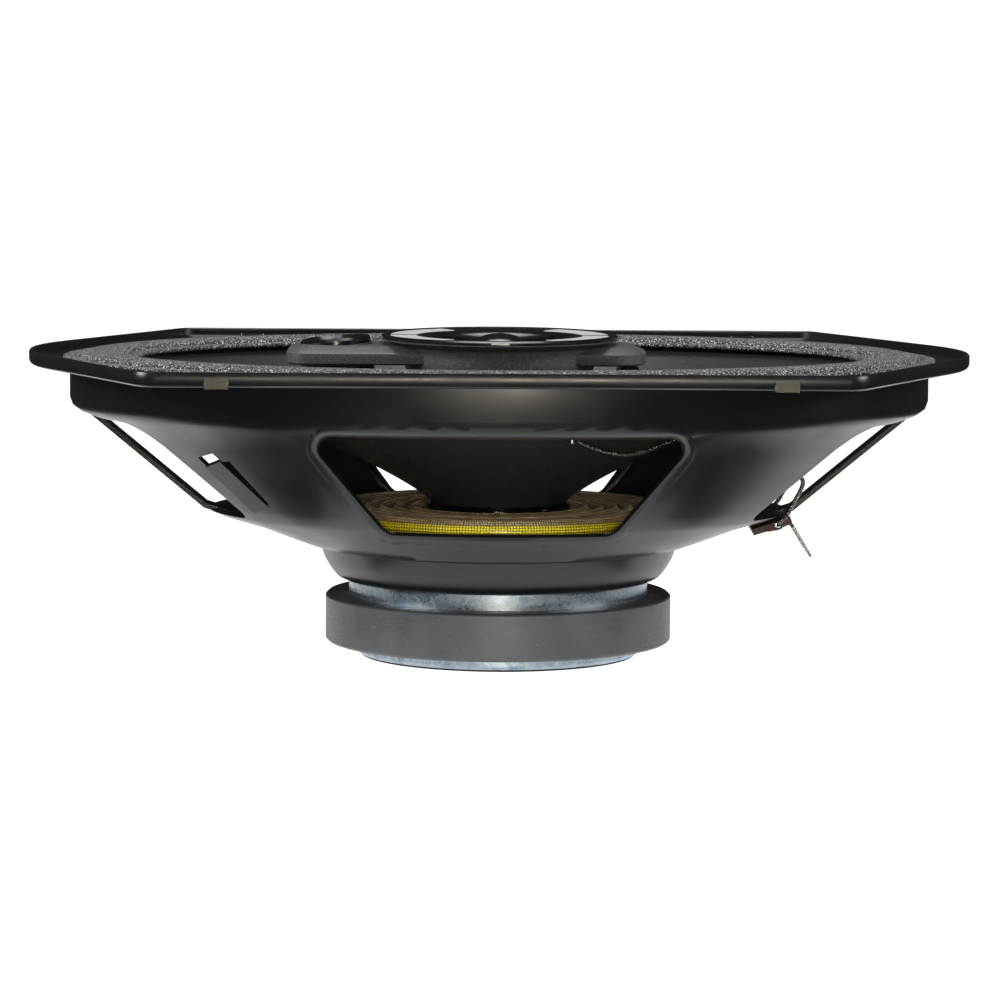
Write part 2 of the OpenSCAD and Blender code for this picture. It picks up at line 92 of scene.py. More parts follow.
def add_node(tree: Tree, kind: str, inputs: dict | None = None, **settings) -> Node:
    """Add a node, set its properties, and fill or link its inputs.

    Args:
        tree: Node tree that takes the node.
        kind: Node type name.
        inputs: Input name or index to a constant or to another node's output.
        **settings: Node properties.

    Returns:
        The new node.
    """
    node = tree.nodes.new(kind)
    for name, value in settings.items():
        setattr(node, name, value)
    for key, value in (inputs or {}).items():
        if isinstance(value, Socket):
            tree.links.new(value, node.inputs[key])
        else:
            node.inputs[key].default_value = value
    return node


class Space(Enum):
    """Where a pattern's coordinates come from."""

    OBJECT = "Object"
    SURFACE = "UV"


def coordinates(tree: Tree, space: Space) -> Socket:
    """Return the coordinate output for a pattern."""
    return add_node(tree, "ShaderNodeTexCoord").outputs[space.value]


def grain(tree: Tree, where: Socket, size: float, detail: float = 3.0,
          roughness: float = 0.5) -> Socket:
    """Noise with features of a real size.

    Args:
        tree: Node tree that takes the noise.
        where: Coordinates in metres.
        size: Feature size in metres.
        detail: Octaves.
        roughness: Share of the finer octaves.

    Returns:
        The noise value, from 0 to 1.
    """
    return add_node(tree, "ShaderNodeTexNoise", {"Vector": where, "Scale": 1 / size,
                    "Detail": detail, "Roughness": roughness}).outputs["Fac"]


def remap(tree: Tree, value: Socket, low: float, high: float,
          start: float = 0.0, end: float = 1.0) -> Socket:
    """Map value from start..end to low..high, clamped."""
    return add_node(tree, "ShaderNodeMapRange", {"Value": value, "From Min": start,
                    "From Max": end, "To Min": low, "To Max": high}).outputs["Result"]


def blend_colour(tree: Tree, share: Socket,
                 first: tuple | Socket,
                 second: tuple | Socket) -> Socket:
    """Mix two colours, each a constant or a socket, by a share socket."""
    return add_node(tree, "ShaderNodeMix", {0: share, 6: first, 7: second},
                    data_type="RGBA").outputs[2]


def math_node(tree: Tree, operation: str, a: float | Socket, b: float | Socket = 0.0) -> Socket:
    """One arithmetic step on sockets or numbers."""
    return add_node(tree, "ShaderNodeMath", {0: a, 1: b}, operation=operation).outputs[0]


def relief(tree: Tree, height: Socket, depth: float,
           strength: float = 1.0,
           under: Socket | None = None) -> Socket:
    """Bump of a real depth.

    Args:
        tree: Node tree that takes the bump.
        height: Height, from 0 to 1.
        depth: Real depth in metres.
        strength: Share of the bump that shows.
        under: Another bump that this one is laid over.

    Returns:
        The bumped normal.
    """
    inputs = {"Height": height, "Distance": depth, "Strength": strength}
    if under is not None:
        inputs["Normal"] = under
    return add_node(tree, "ShaderNodeBump", inputs).outputs["Normal"]


# ---------- finishes ----------

def feed(shader: Node, name: str, value: Socket) -> None:
    """Join a value to one of the shader's sockets."""
    shader.id_data.links.new(value, shader.inputs[name])


@dataclass(frozen=True)
class Finish:
    """A plain finish; its kinds add their own pattern."""

    name: str
    colour: str
    roughness: float
    metallic: float = 0.0
    ior: float = 1.5
    coat: float = 0.0
    coat_roughness: float = 0.1

    def material(self) -> Material:
        """Make the material.

        Returns:
            A material with this finish's colour, gloss and pattern.
        """
        made = bpy.data.materials.new(self.name)
        made.use_nodes = True
        tree = made.node_tree
        shader = tree.nodes["Principled BSDF"]
        shader.inputs["Base Color"].default_value = srgb(self.colour)
        shader.inputs["Roughness"].default_value = self.roughness
        shader.inputs["Metallic"].default_value = self.metallic
        if self.metallic == 0:
            shader.inputs["IOR"].default_value = self.ior
        if self.coat > 0:
            shader.inputs["Coat Weight"].default_value = self.coat
            shader.inputs["Coat Roughness"].default_value = self.coat_roughness
        made.diffuse_color = srgb(self.colour)
        self.pattern(tree, shader)
        return made

    def pattern(self, tree: Tree, shader: Node) -> None:
        """Fine unevenness that every made surface has."""
        where = coordinates(tree, Space.OBJECT)
        fine = grain(tree, where, 0.9 * MM)
        feed(shader, "Roughness",
             remap(tree, fine, self.roughness * 0.85, self.roughness * 1.2, 0.3, 0.7))
        feed(shader, "Normal", relief(tree, fine, 0.02 * MM, 0.4))

    def tint(self, tree: Tree, share: Socket, other: str) -> Socket:
        """The finish's own colour, going over to another one."""
        return blend_colour(tree, share, srgb(self.colour), srgb(other))

    def vary_gloss(self, tree: Tree, shader: Node, follow: Socket, less: float, more: float,
                   start: float = 0.3, end: float = 0.7) -> None:
        """Let the roughness follow a pattern.

        Args:
            tree: Node tree of the material.
            shader: Its shader.
            follow: The pattern.
            less: How far the roughness falls below its usual value.
            more: How far it rises above it.
            start: Pattern value at the lowest roughness.
            end: Pattern value at the highest.
        """
        low, high = self.roughness - less, self.roughness + more
        feed(shader, "Roughness", remap(tree, follow, low, high, start, end))


@dataclass(frozen=True)
class PressedPaint(Finish):
    """Dipped black paint on pressed steel: a low satin gloss with a faint orange peel."""

    peel: float = 0.8 * MM
    dust: str = "#2b2a29"

    def pattern(self, tree: Tree, shader: Node) -> None:
        """Orange peel, a soft mottle in the gloss, and a trace of dust."""
        where = coordinates(tree, Space.OBJECT)
        peel = grain(tree, where, self.peel, 2.0)
        cloud = grain(tree, where, 14 * MM, 4.0)
        specks = remap(tree, grain(tree, where, 0.35 * MM, 2.0), 0.0, 0.55, 0.68, 0.78)
        feed(shader, "Base Color", self.tint(tree, specks, self.dust))
        self.vary_gloss(tree, shader, cloud, 0.05, 0.07)
        feed(shader, "Normal", relief(tree, peel, 0.012 * MM, 0.5))


@dataclass(frozen=True)
class ZincPlate(Finish):
    """Clear-passivated zinc: cool silver with a bluish, finely spangled bloom."""

    bloom: str = "#75899a"
    spangle: float = 1.1 * MM

    def pattern(self, tree: Tree, shader: Node) -> None:
        """Spangles in colour and gloss, and faint handling marks."""
        where = coordinates(tree, Space.OBJECT)
        cells = add_node(tree, "ShaderNodeTexVoronoi", {"Vector": where, "Scale": 1 / self.spangle,
                         "Randomness": 1.0}).outputs["Color"]
        tone = add_node(tree, "ShaderNodeSeparateColor", {0: cells}).outputs[0]
        cloud = grain(tree, where, 9 * MM, 5.0, 0.6)
        fleck = grain(tree, where, 0.5 * MM, 3.0, 0.7)
        share = math_node(tree, "MULTIPLY", remap(tree, cloud, 0.0, 1.0, 0.35, 0.65), tone)
        base = blend_colour(tree, share, srgb(self.colour), srgb(self.bloom))
        dark = remap(tree, fleck, 0.0, 0.75, 0.6, 0.72)
        feed(shader, "Base Color", blend_colour(tree, dark, base, srgb("#4d565c")))
        self.vary_gloss(tree, shader, fleck, 0.1, 0.16, 0.35, 0.65)
        under = relief(tree, cloud, 0.1 * MM, 0.25)
        feed(shader, "Normal", relief(tree, fleck, 0.03 * MM, 0.5, under))


@dataclass(frozen=True)
class GroundFerrite(Finish):
    """Ground ferrite: dull charcoal with fine pores, and a top face painted near black as the shade under
    the pot.
    """

    # Level above which the top face is painted near black as shade
    painted_shade_from: float = -57.6 * MM

    def pattern(self, tree: Tree, shader: Node) -> None:
        """Pores, specks, the lay of the grinding, and painted shade on the top face."""
        where = coordinates(tree, Space.OBJECT)
        pores = grain(tree, where, 0.45 * MM, 3.0, 0.65)
        cloud = grain(tree, where, 11 * MM, 4.0)
        squeezed = add_node(tree, "ShaderNodeMapping", {"Vector": where, "Scale": (1, 1, 7)})
        lay = grain(tree, squeezed.outputs[0], 2.2 * MM, 3.0)
        shade = remap(tree, cloud, 0.0, 0.6, 0.3, 0.7)
        base = blend_colour(tree, shade, srgb(self.colour), srgb("#3c4042"))
        # Painted shade: the top face under the pot is darkened to near black
        height = add_node(tree, "ShaderNodeSeparateXYZ", {0: where}).outputs[2]
        pressed = remap(tree, height, 0.0, 1.0, self.painted_shade_from - 0.3 * MM, self.painted_shade_from)
        base = blend_colour(tree, pressed, base, srgb("#08090a"))
        speck_and_glint = remap(tree, pores, 0.0, 0.7, 0.66, 0.76)
        mottled = blend_colour(tree, speck_and_glint, base, srgb("#8b8f92"))
        feed(shader, "Base Color", mottled)
        self.vary_gloss(tree, shader, lay, 0.06, 0.1)
        under = relief(tree, lay, 0.03 * MM, 0.4)
        feed(shader, "Normal", relief(tree, pores, 0.03 * MM, 0.6, under))


@dataclass(frozen=True)
class MouldedCone(Finish):
    """Injection-moulded polypropylene: deep black, smooth, with long soft highlights."""

    def pattern(self, tree: Tree, shader: Node) -> None:
        """Fine mould texture under the gloss."""
        where = coordinates(tree, Space.OBJECT)
        fine = grain(tree, where, 1.2 * MM, 3.0)
        self.vary_gloss(tree, shader, fine, 0.03, 0.04)
        feed(shader, "Normal", relief(tree, fine, 0.01 * MM, 0.4))


@dataclass(frozen=True)
class SpeckledFoam(Finish):
    """Pressed foam with an open skin: near black, with lighter cell walls painted in as highlights where
    they catch the light.
    """

    # Colour of the painted highlights on the cell walls
    speck_and_glint: str = "#c4c4c2"
    cell: float = 0.42 * MM

    def pattern(self, tree: Tree, shader: Node) -> None:
        """Open cells as relief, with the cell walls painted lighter as highlights."""
        where = coordinates(tree, Space.OBJECT)
        cells = grain(tree, where, self.cell, 1.0, 0.8)
        # Painted highlights: the lit cell walls are lightened in the base colour
        lit = remap(tree, cells, 0.0, 1.0, 0.55, 0.67)
        feed(shader, "Base Color", self.tint(tree, lit, self.speck_and_glint))
        feed(shader, "Normal", relief(tree, cells, 0.35 * MM, 0.9))


@dataclass(frozen=True)
class ResinCloth(Finish):
    """Resin-stiffened woven cloth; its threads follow the surface coordinates in metres, and its outer wall
    is a brighter yellow that is partly the cloth's own tone and partly painted light.
    """

    wall_yellow_and_light: str = "#fbe800"
    pitch: float = 0.72 * MM

    def pattern(self, tree: Tree, shader: Node) -> None:
        """Over-and-under threads, darker in the gaps, and a brighter yellow on the outer wall that is partly
        painted light.
        """
        where = coordinates(tree, Space.SURFACE)
        parts = add_node(tree, "ShaderNodeSeparateXYZ", {0: where})
        turn = 2 * math.pi / (2 * self.pitch)
        warp = math_node(tree, "SINE", math_node(tree, "MULTIPLY", parts.outputs[0], turn))
        weft = math_node(tree, "SINE", math_node(tree, "MULTIPLY", parts.outputs[1], turn))
        weave = math_node(tree, "MULTIPLY", warp, weft)
        size = math_node(tree, "ABSOLUTE", weave)
        gaps = remap(tree, size, 0.0, 1.0, 0.08, 0.42)
        # Painted light, in part: the outer wall is lightened to a bright yellow as if lit through the window
        wall = add_node(tree, "ShaderNodeAttribute", attribute_name="wall_tone_and_light_mask").outputs["Fac"]
        stain = grain(tree, coordinates(tree, Space.OBJECT), 5 * MM, 4.0)
        inside = blend_colour(tree, remap(tree, stain, 0.0, 1.0, 0.35, 0.65), srgb(self.colour),
                              srgb("#f2dcb2"))
        thread = blend_colour(tree, wall, inside, srgb(self.wall_yellow_and_light))
        hole = blend_colour(tree, wall, srgb("#231a0e"), srgb("#4a4408"))
        feed(shader, "Base Color", blend_colour(tree, gaps, hole, thread))
        feed(shader, "Normal", relief(tree, size, 0.16 * MM, 0.9))


@dataclass(frozen=True)
class FineWinding(Finish):
    """Close-wound enamelled wire: bright turns with a groove between each, darkened as painted shade."""

    pitch: float = 0.3 * MM

    def pattern(self, tree: Tree, shader: Node) -> None:
        """Grooves round the winding, with painted shade darkening each groove."""
        height = add_node(tree, "ShaderNodeSeparateXYZ", {0: coordinates(tree, Space.OBJECT)})
        turns = math_node(tree, "MULTIPLY", height.outputs[2], 2 * math.pi / self.pitch)
        wave = math_node(tree, "SINE", turns)
        feed(shader, "Normal", relief(tree, wave, 0.05 * MM, 0.8))
        # Painted shade: the wire's colour darkens towards the bottom of each groove
        feed(shader, "Base Color",
             self.tint(tree, remap(tree, wave, 1.0, 0.0, -1.0, -0.2), "#3a1608"))


@dataclass(frozen=True)
class TexturedPlastic(Finish):
    """Spark-textured black ABS: matt with a fine even grain that greys in raking light."""

    texture: float = 0.5 * MM

    def pattern(self, tree: Tree, shader: Node) -> None:
        """Spark-eroded grain in height and colour."""
        where = coordinates(tree, Space.OBJECT)
        spark = grain(tree, where, self.texture, 2.0, 0.6)
        feed(shader, "Base Color",
             self.tint(tree, remap(tree, spark, 0.0, 0.5, 0.5, 0.7), "#68686a"))
        self.vary_gloss(tree, shader, spark, 0.05, 0.1)
        feed(shader, "Normal", relief(tree, spark, 0.05 * MM, 0.8))


@dataclass(frozen=True)
class FibreBoard(Finish):
    """Punched paper-fibre board: dark brown with pale fibres along the cut edges."""

    def pattern(self, tree: Tree, shader: Node) -> None:
        """Streaky fibres."""
        where = coordinates(tree, Space.OBJECT)
        drawn = add_node(tree, "ShaderNodeMapping", {"Vector": where, "Scale": (1, 0.25, 4)})
        fibre = grain(tree, drawn.outputs[0], 0.7 * MM, 4.0, 0.65)
        feed(shader, "Base Color",
             self.tint(tree, remap(tree, fibre, 0.0, 1.0, 0.45, 0.75), "#6a5340"))
        feed(shader, "Normal", relief(tree, fibre, 0.08 * MM, 0.7))


@dataclass(frozen=True)
class LitCard(Finish):
    """White card that glows, a little less at the front and high up."""

    front_glow: float = 0.7
    front: tuple = (-0.52, -0.39)
    top_glow: float = 0.8
    top: tuple = (0.3, 0.48)

    def pattern(self, tree: Tree, shader: Node) -> None:
        """Glow that eases off towards the front and the top."""
        parts = add_node(tree, "ShaderNodeSeparateXYZ", {0: coordinates(tree, Space.OBJECT)})
        near = remap(tree, parts.outputs[1], self.front_glow, 1.0, *self.front)
        high = remap(tree, parts.outputs[2], 1.0, self.top_glow, *self.top)
        glow = math_node(tree, "MULTIPLY", near, high)
        shader.inputs["Emission Color"].default_value = srgb("#ffffff")
        feed(shader, "Emission Strength", glow)


# Semi-matt black that lightens only towards the motor
BASKET = PressedPaint("dipped_black_paint", "#0d0d0e", 0.32, ior=1.55)
# Cool, cloudy silver of the turned steel plates
PLATE = ZincPlate("clear_zinc_plate", "#a9b4bc", 0.34, metallic=1.0)
# Dull grey block between the two bright plates
FERRITE = GroundFerrite("ground_ferrite", "#222527", 0.45, ior=1.7)
# Small dull metal marks in the black lip
CLIP = Finish("dull_zinc_clip", "#5c5c55", 0.45, metallic=1.0)
# Worn silver of the tabs, the rivet and the eyelets
TIN = Finish("tinned_brass", "#a3a5a5", 0.4, metallic=1.0)
# Bright rounded lumps at the terminals
SOLDER = Finish("bright_solder", "#c9ccce", 0.2, metallic=1.0)
# Dark metal thread with bright points
BRAID = Finish("tinned_braid", "#7d7a73", 0.26, metallic=1.0)
# Smooth black with long soft highlights
CONE = MouldedCone("moulded_black_cone", "#29292b", 0.3, ior=1.5)
# Wet-looking black bead round the neck
GLUE = Finish("glossy_black_adhesive", "#0a0a0b", 0.08, ior=1.5)
# Black sponge with pale specks that are painted highlights
FOAM = SpeckledFoam("pressed_foam", "#101012", 0.6, ior=1.45)
# Brown weave inside, yellow on the outer wall; the wall's brighter yellow is partly painted light
CLOTH = ResinCloth("resin_cloth", "#cfae72", 0.38, ior=1.5, coat=0.4, coat_roughness=0.22)
# Amber glow of the coil former
FILM = Finish("amber_former_film", "#8a5a24", 0.25, ior=1.6)
# Warm wire turns
COPPER = FineWinding("enamelled_winding", "#c46a34", 0.3, metallic=1.0)
# Fine-grained dark plastic that greys in the light
HOUSING = TexturedPlastic("spark_textured_abs", "#353536", 0.5, ior=1.54)
# Polished black ring edges
GLOSS_RIM = Finish("gloss_black_rim", "#0c0c0d", 0.2, ior=1.52)
# Pale pads on the midrange ring: a painted reflection of the bright surroundings
REFLECTION_PADS = Finish("painted_reflection_pads", "#a3a4a1", 0.42, ior=1.6)
# Soft black of the small cone
PAPER = Finish("pressed_black_paper", "#141415", 0.7, ior=1.45)
# Glassy dark dome
DOME = Finish("glossy_dome_film", "#1c1d22", 0.16, ior=1.6, coat=0.6, coat_roughness=0.05)
# Brown fibre edge under the strut
BOARD = FibreBoard("punched_fibre_board", "#2a1f18", 0.75, ior=1.45)
# Dark turned post under the bridge
POST = Finish("blackened_post", "#1a1a1c", 0.45, ior=1.5)
# Blue-black tube under the bridge
SLEEVE = Finish("shrink_sleeve", "#171a24", 0.3, ior=1.5)


# ---------- mesh helpers ----------

def linked(name: str, data: bpy.types.ID) -> Piece:
    """Put an object for some data into the scene.

    Args:
        name: Object name.
        data: Mesh, curve, light or camera.

    Returns:
        The object, at the origin.
    """
    made = bpy.data.objects.new(name, data)
    bpy.context.scene.collection.objects.link(made)
    return made


def mesh_piece(name: str, points: list, faces: list, finish: Material) -> Piece:
    """Make a smooth-shaded object at the origin from points and faces.

    Args:
        name: Object name.
        points: Vertex positions in metres.
        faces: Vertex index tuples, anticlockwise from outside.
        finish: Material for the whole piece.

    Returns:
        The linked object.
    """
    mesh = bpy.data.meshes.new(name)
    mesh.from_pydata([tuple(p) for p in points], [], faces)
    mesh.materials.append(finish)
    mesh.polygons.foreach_set("use_smooth", [True] * len(mesh.polygons))
    mesh.update()
    return linked(name, mesh)


def hoop_faces(rings: int, around: int) -> list[tuple[int, int, int, int]]:
    """Quads of a hoop whose section is closed and whose rings run round the axis."""
    return [(k * around + i, k * around + (i + 1) % around,
             ((k + 1) % rings) * around + (i + 1) % around, ((k + 1) % rings) * around + i)
            for k in range(rings) for i in range(around)]


def oval_point(half_length: float, half_width: float, height: float, turn: float) -> tuple:
    """Point on an oval at a height, a share turn of the way round."""
    angle = 2 * math.pi * turn
    return (half_length * math.cos(angle), half_width * math.sin(angle), height)


def face_outwards(piece: Piece) -> None:
    """Recalculate a closed piece's normals so that they point outwards."""
    work = bmesh.new()
    work.from_mesh(piece.data)
    bmesh.ops.recalc_face_normals(work, faces=work.faces)
    work.to_mesh(piece.data)
    work.free()


def finished(work: WorkMesh, name: str, finish: Material, crease: float = 180.0) -> Piece:
    """Turn a work mesh into a smooth piece whose sharper edges stay sharp.

    Args:
        work: Mesh to turn into the piece; it is used up.
        name: Name of the piece.
        finish: Its material.
        crease: Edges sharper than this many degrees stay sharp.

    Returns:
        The piece, at the origin.
    """
    limit = math.radians(crease)
    for edge in work.edges:
        edge.smooth = len(edge.link_faces) == 2 and edge.calc_face_angle(0.0) < limit
    for face in work.faces:
        face.smooth = True
    mesh = bpy.data.meshes.new(name)
    work.to_mesh(mesh)
    work.free()
    mesh.materials.append(finish)
    return linked(name, mesh)


def welded_copy(node: str, name: str, finish: Material, crease: float = 30.0) -> Piece:
    """Copy a CAD node's mesh, weld its loose triangles and smooth it up to a crease angle.

    Args:
        node: CAD node to copy.
        name: Name of the new piece.
        finish: Its material.
        crease: Edges sharper than this many degrees stay sharp.

    Returns:
        The new piece, at the origin.
    """
    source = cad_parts[node].data
    work = bmesh.new()
    work.from_mesh(source)
    bmesh.ops.remove_doubles(work, verts=work.verts, dist=0.002 * MM)
    bmesh.ops.dissolve_degenerate(work, edges=work.edges, dist=0.001 * MM)
    return finished(work, name, finish, crease)


def dress(node: str, finish: Material) -> None:
    """Give a CAD node its material."""
    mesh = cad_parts[node].data
    mesh.materials.clear()
    mesh.materials.append(finish)
    log.info("dressed %s in %s", node, finish.name)


def stand_for(piece: Piece, body: str, slot: str, *nodes: str) -> None:
    """Ride a piece on a body, and hide the CAD nodes it stands for."""
    if body:
        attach(piece, body)
    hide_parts(*nodes)
    log.info("built %s for %s", piece.name, ", ".join(nodes))


def stretch_between(piece: Piece, fixed: str, moving: str, shares: list[float]) -> None:
    """Blend a piece from a fixed body to a moving one with its own share at each vertex.

    Args:
        piece: Piece that crosses the joint.
        fixed: Body that a share of 0 follows.
        moving: Body that a share of 1 follows.
        shares: One share for each vertex.
    """
    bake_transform(piece, fixed, moving, (0.0, 0.0, -1.0), (0.0, 0.0, 1.0))
    # A straight line can't tell a ring's outer edge from its inner one, so each share is set
    layer = next(a for a in piece.data.attributes if "BLEND" in a.name.upper())
    layer.data.foreach_set("value", shares)


def set_input(modifier: bpy.types.Modifier, name: str, value: float | int) -> None:
    """Set a node-tree input by its socket identifier."""
    for item in modifier.node_group.interface.items_tree:
        if item.item_type == "SOCKET" and item.in_out == "INPUT" and item.name == name:
            modifier[item.identifier] = value


def bake_nodes(holder: Piece, name: str) -> Piece:
    """Turn an object's evaluated geometry into a plain mesh piece and remove the holder.

    Args:
        holder: Object with the node modifier.
        name: Name of the new piece.

    Returns:
        The plain mesh piece, at the origin.
    """
    bpy.context.view_layer.update()
    graph = bpy.context.evaluated_depsgraph_get()
    mesh = bpy.data.meshes.new_from_object(holder.evaluated_get(graph), depsgraph=graph)
    mesh.name = name
    holder.modifiers.clear()
    bpy.data.objects.remove(holder, do_unlink=True)
    return linked(name, mesh)


def new_tree(name: str, inputs: dict) -> tuple:
    """Start a geometry node tree with named inputs.

    Args:
        name: Tree name.
        inputs: Input name to (socket type, default).

    Returns:
        The tree, its input node and its output node.
    """
    tree = bpy.data.node_groups.new(name, "GeometryNodeTree")
    tree.interface.new_socket("Geometry", in_out="INPUT", socket_type="NodeSocketGeometry")
    tree.interface.new_socket("Geometry", in_out="OUTPUT", socket_type="NodeSocketGeometry")
    for label, (kind, default) in inputs.items():
        socket = tree.interface.new_socket(label, in_out="INPUT", socket_type=kind)
        socket.default_value = default
    return tree, add_node(tree, "NodeGroupInput"), add_node(tree, "NodeGroupOutput")


def turned_piece(name: str, section: list[tuple], finish: Material,
                 around: int = 192, wobble: float = 0.0) -> Piece:
    """Closed ring turned from a section given as radius and level in millimetres.

    Args:
        name: Name of the piece.
        section: Closed section, in order round its edge.
        finish: Its material.
        around: Steps round the axis.
        wobble: Unevenness in millimetres, for a hand-laid bead.

    Returns:
        The ring, with its faces outwards.
    """
    points = []
    for r, z in section:
        for i in range(around):
            turn = 2 * math.pi * i / around
            out = r + wobble * (math.sin(7 * turn) + 0.7 * math.sin(17 * turn + r))
            points.append((out * MM * math.cos(turn), out * MM * math.sin(turn), z * MM))
    piece = mesh_piece(name, points, hoop_faces(len(section), around), finish)
    face_outwards(piece)
    return piece


def round_section(radius: float, level: float, half_width: float, half_height: float,
                  steps: int = 12) -> list[tuple]:
    """Oval section round a centre, for a bead."""
    return [(radius + half_width * math.cos(2 * math.pi * k / steps),
             level + half_height * math.sin(2 * math.pi * k / steps)) for k in range(steps)]


# ---------- sub-assemblies ----------

@dataclass
class Studio:
    """Pale sweep, soft boxes and the camera."""

    floor_z: float = -72.8 * MM
    table_r: float = 0.2
    eye: tuple = (-0.008, -1.040, 0.0753)
    pitch: float = math.atan(438 / 4160)
    yaw: float = math.radians(-0.423)
    roll: float = math.radians(-0.35)
    lens: float = 149.8
    # Name, place in metres, long and short side, watts, spread in degrees, colour
    lamps: tuple = (("key_box", (-0.75, -0.3, 0.35), 0.5, 0.3, 1.2, 70, "#ffffff"),
                    ("fill_box", (0.8, -0.3, 0.3), 0.5, 0.3, 0.8, 70, "#ffffff"),
                    ("top_box", (0.0, 0.1, 1.1), 0.9, 0.6, 2.4, 70, "#ffffff"),
                    ("window_box", (0.02, -0.8, 0.0), 0.12, 0.05, 0.032, 24, "#fff2e2"))
    lamp_aim: tuple = (0.0, 0.0, -0.03)
    # A T in plan, wide behind the object and narrow in front of it
    under_edge: tuple = ((-0.16, -0.02), (-0.06, -0.02), (-0.06, -0.13), (0.06, -0.13),
                         (0.06, -0.02), (0.16, -0.02), (0.16, 0.3), (-0.16, 0.3))
    under_lift: float = 0.5 * MM
    ambient: float = 0.03

    def build(self) -> None:
        """Make the floor, the lights, the world and the camera."""
        self.sweep()
        self.world()
        for lamp in self.lamps:
            self.soft_box(*lamp)
        self.camera()
        bpy.context.scene.view_settings.view_transform = "Standard"

    def sweep(self) -> None:
        """Round floor that curves up into a wall, and a low card that lights gloss from below."""
        card = LitCard("lit_white_card", "#808080", 0.9).material()
        section = [(self.table_r, 0.0)] + [(0.25 * k, 0.0) for k in range(1, 6)]
        section += [(1.3 + 0.7 * math.sin(a), 0.7 - 0.7 * math.cos(a))
                    for a in [math.pi / 2 * k / 12 for k in range(13)]]
        section.append((2.0, 2.6))
        around = 64
        points = [(r * math.cos(2 * math.pi * i / around), r * math.sin(2 * math.pi * i / around),
                   self.floor_z + z) for r, z in section for i in range(around)]
        faces = []
        for k in range(len(section) - 1):
            for i in range(around):
                a, b = k * around + i, k * around + (i + 1) % around
                faces.append((a, a + around, b + around, b))
        wall = mesh_piece("card_wall", points, faces, card)
        wall.visible_glossy = False
        table = mesh_piece("card_table", points[:around], [tuple(range(around))], card)
        table.visible_glossy = False
        low = [(x, y, self.floor_z + self.under_lift) for x, y in self.under_edge]
        under = mesh_piece("under_card", low, [tuple(range(len(low)))], card)
        under.visible_camera = False

    def world(self) -> None:
        """Dim even surround."""
        world = bpy.data.worlds.new("studio")
        bpy.context.scene.world = world
        world.use_nodes = True
        world.node_tree.nodes["Background"].inputs["Color"].default_value = srgb("#ffffff")
        world.node_tree.nodes["Background"].inputs["Strength"].default_value = self.ambient

    def soft_box(self, name: str, place: tuple, width: float, depth: float, power: float,
                 spread: float, colour: str) -> None:
        """Area light aimed at the object.

        Args:
            name: Light name.
            place: Position in metres.
            width: Long side of the box.
            depth: Short side.
            power: Watts.
            spread: Angle of the light's cone in degrees.
            colour: Colour of the light.
        """
        light = bpy.data.lights.new(name, "AREA")
        light.shape = "RECTANGLE"
        light.size, light.size_y, light.energy = width, depth, power
        light.spread = math.radians(spread)
        light.color = srgb(colour)[:3]
        lamp = linked(name, light)
        lamp.location = place
        aim = Vector(self.lamp_aim) - Vector(place)
        lamp.rotation_euler = aim.to_track_quat("-Z", "Y").to_euler()

    def camera(self) -> None:
        """Camera in front, a little above the flange."""
        data = bpy.data.cameras.new("front_camera")
        data.lens, data.sensor_width = self.lens, 36.0
        data.clip_start, data.clip_end = 0.05, 20.0
        camera = linked("front_camera", data)
        camera.location = self.eye
        camera.rotation_euler = (math.pi / 2 - self.pitch, self.roll, self.yaw)
        bpy.context.scene.camera = camera


@dataclass
class BasketPressing:
    """Pressed-steel basket with its grille clips."""

    crease: float = 34.0
    clip_ribs: int = 5

    def build(self) -> None:
        """Weld and paint the basket, and dress the clips."""
        basket = welded_copy("basket", "painted_basket", BASKET.material(), self.crease)
        stand_for(basket, "frame", "basket_paint", "basket")
        zinc = CLIP.material()
        dress("grille_clips", zinc)
        self.ribs(zinc)

    def ribs(self, zinc: Material) -> None:
        """Coin the grip lines into the outer face of the four clips."""
        places = [(x * 66.0 * MM, y * 81.75 * MM, 0.9 * MM) for x in (-1, 1) for y in (-1, 1)]
        mesh = bpy.data.meshes.new("clip_places")
        mesh.from_pydata(places, [], [])
        holder = linked("clip_places", mesh)
        modifier = holder.modifiers.new("ribs", "NODES")
        modifier.node_group = rib_tree(zinc)
        set_input(modifier, "Count", self.clip_ribs)
        piece = bake_nodes(holder, "clip_ribs")
        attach(piece, "frame")


@dataclass
class MotorStack:
    """Plates, ferrite, pole and post."""

    def build(self) -> None:
        """Dress the motor's nodes."""
        plate, ferrite = PLATE.material(), FERRITE.material()
        for node in ("front_plate", "pole_yoke", "mid_yoke", "mid_pole_plate", "tweeter_yoke",
                     "tweeter_pole_plate", "plate_studs"):
            dress(node, plate)
        for node in ("magnet_ring", "mid_magnet", "tweeter_magnet"):
            dress(node, ferrite)
        dress("post", POST.material())
        dress("post_screw", TIN.material())


